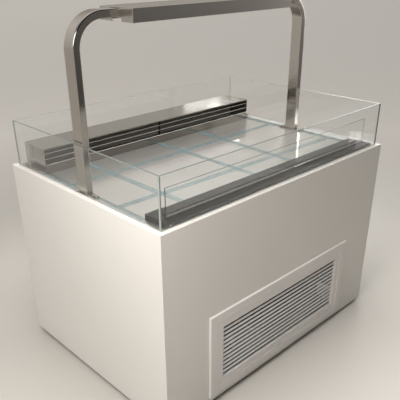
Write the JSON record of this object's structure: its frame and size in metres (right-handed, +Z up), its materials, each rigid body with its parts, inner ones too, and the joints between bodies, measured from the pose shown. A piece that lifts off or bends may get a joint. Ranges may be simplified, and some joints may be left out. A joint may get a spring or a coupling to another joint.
{
  "type": "refrigerated island display",
  "caption": "Free-standing white refrigerated island with a glass-guarded open deck, louvred air outlet, hinged vent grille and a bent tube lamp gantry.",
  "frame": {"origin": "on the floor, under the middle of the cabinet", "axes": "+X along the length, to the right of someone facing the hinged grille; +Y to the back; +Z up"},
  "size_m": [1.4, 1.02, 1.537],
  "materials": {
    "panel_white": "satin",
    "grille_white": "satin",
    "stainless": "satin",
    "tube_steel": "satin",
    "guard_glass": "polished",
    "riser_clear": "polished",
    "bright_channel": "satin",
    "white_board": "matte",
    "foam": "matte",
    "galvanised": "matte",
    "frame_paint": "satin",
    "zinc": "satin",
    "rubber": "matte",
    "glazing_white": "matte",
    "coil_metal": "matte",
    "fan_plastic": "satin",
    "motor_paint": "satin",
    "copper": "satin",
    "grey_plastic": "matte",
    "black_plastic": "satin",
    "magnet": "matte",
    "light_board": "matte",
    "diffuser": "satin"
  },
  "bodies": {
    "cabinet": {"back_panel": "panel_white", "cable_gland": "grey_plastic", "compressor": "motor_paint", "compressor_mounts": "rubber", "condenser_coil": "coil_metal", "condenser_motor": "motor_paint", "control_box": "grey_plastic", "deck_bearers": "stainless", "door_magnets": "magnet", "door_pins": "zinc", "drain_pan": "grey_plastic", "drain_pipe": "grey_plastic", "evaporator_coil": "coil_metal", "evaporator_motors": "motor_paint", "fan_baffle": "galvanised", "fan_shroud": "galvanised", "foot_nuts": "zinc", "frame": "frame_paint", "front_panel": "panel_white", "gantry_bolts": "zinc", "gantry_left": "tube_steel", "gantry_right": "tube_steel", "glass_back": "guard_glass", "glass_channel": "bright_channel", "glass_front": "guard_glass", "glass_left": "guard_glass", "glass_right": "guard_glass", "glazing_rubber": "glazing_white", "grille_frame": "grille_white", "lamp_diffuser": "diffuser", "lamp_housing": "tube_steel", "left_panel": "panel_white", "light_board": "light_board", "plenum_board": "white_board", "plenum_louvre": "stainless", "plenum_shell": "stainless", "rear_grille": "grille_white", "refrigerant_pipes": "copper", "return_grille": "stainless", "right_panel": "panel_white", "riser_channel": "bright_channel", "riser_glass": "riser_clear", "tub_insulation": "foam", "tub_liner": "stainless", "tub_skin": "galvanised", "unit_tray": "galvanised"},
    "grille_door": {"grille_door": "grille_white"},
    "deck_plate_left": {"deck_plate_left": "stainless"},
    "deck_plate_middle": {"deck_plate_middle": "stainless"},
    "deck_plate_right": {"deck_plate_right": "stainless"},
    "evaporator_fan_1": {"evaporator_fan_1": "fan_plastic"},
    "evaporator_fan_2": {"evaporator_fan_2": "fan_plastic"},
    "evaporator_fan_3": {"evaporator_fan_3": "fan_plastic"},
    "condenser_fan": {"condenser_fan": "fan_plastic"},
    "power_switch": {"power_switch": "black_plastic"},
    "thermostat_dial": {"thermostat_dial": "black_plastic"},
    "foot_front_left": {"foot_front_left": "zinc"},
    "foot_front_right": {"foot_front_right": "zinc"},
    "foot_back_left": {"foot_back_left": "zinc"},
    "foot_back_right": {"foot_back_right": "zinc"}
  },
  "joints": [
    {"name": "door_swing", "type": "hinge", "parent": "cabinet", "child": "grille_door", "pos_m": [0.4205, -0.503, 0.245], "axis": [0, 0, 1], "range_deg": [0, 90]},
    {"name": "deck_plate_left_lift", "type": "slide", "parent": "cabinet", "child": "deck_plate_left", "axis": [0, 0, 1], "range_m": [0, 0.25]},
    {"name": "deck_plate_middle_lift", "type": "slide", "parent": "cabinet", "child": "deck_plate_middle", "axis": [0, 0, 1], "range_m": [0, 0.25]},
    {"name": "deck_plate_right_lift", "type": "slide", "parent": "cabinet", "child": "deck_plate_right", "axis": [0, 0, 1], "range_m": [0, 0.25]},
    {"name": "evaporator_fan_1_spin", "type": "hinge", "parent": "cabinet", "child": "evaporator_fan_1", "pos_m": [-0.4, 0.194, 0.752], "axis": [0, 1, 0], "continuous": true},
    {"name": "evaporator_fan_2_spin", "type": "hinge", "parent": "cabinet", "child": "evaporator_fan_2", "pos_m": [0, 0.194, 0.752], "axis": [0, 1, 0], "continuous": true},
    {"name": "evaporator_fan_3_spin", "type": "hinge", "parent": "cabinet", "child": "evaporator_fan_3", "pos_m": [0.4, 0.194, 0.752], "axis": [0, 1, 0], "continuous": true},
    {"name": "condenser_fan_spin", "type": "hinge", "parent": "cabinet", "child": "condenser_fan", "pos_m": [0.21, -0.3, 0.235], "axis": [0, 1, 0], "continuous": true},
    {"name": "switch_rock", "type": "hinge", "parent": "cabinet", "child": "power_switch", "pos_m": [-0.378, -0.427, 0.175], "axis": [1, 0, 0], "range_deg": [0, 16]},
    {"name": "dial_turn", "type": "hinge", "parent": "cabinet", "child": "thermostat_dial", "pos_m": [-0.288, -0.43, 0.175], "axis": [0, 1, 0], "range_deg": [0, 270]},
    {"name": "foot_front_left_turn", "type": "hinge", "parent": "cabinet", "child": "foot_front_left", "pos_m": [-0.662, -0.462, 0], "axis": [0, 0, 1], "continuous": true},
    {"name": "foot_front_right_turn", "type": "hinge", "parent": "cabinet", "child": "foot_front_right", "pos_m": [0.662, -0.462, 0], "axis": [0, 0, 1], "continuous": true},
    {"name": "foot_back_left_turn", "type": "hinge", "parent": "cabinet", "child": "foot_back_left", "pos_m": [-0.662, 0.462, 0], "axis": [0, 0, 1], "continuous": true},
    {"name": "foot_back_right_turn", "type": "hinge", "parent": "cabinet", "child": "foot_back_right", "pos_m": [0.662, 0.462, 0], "axis": [0, 0, 1], "continuous": true}
  ]
}
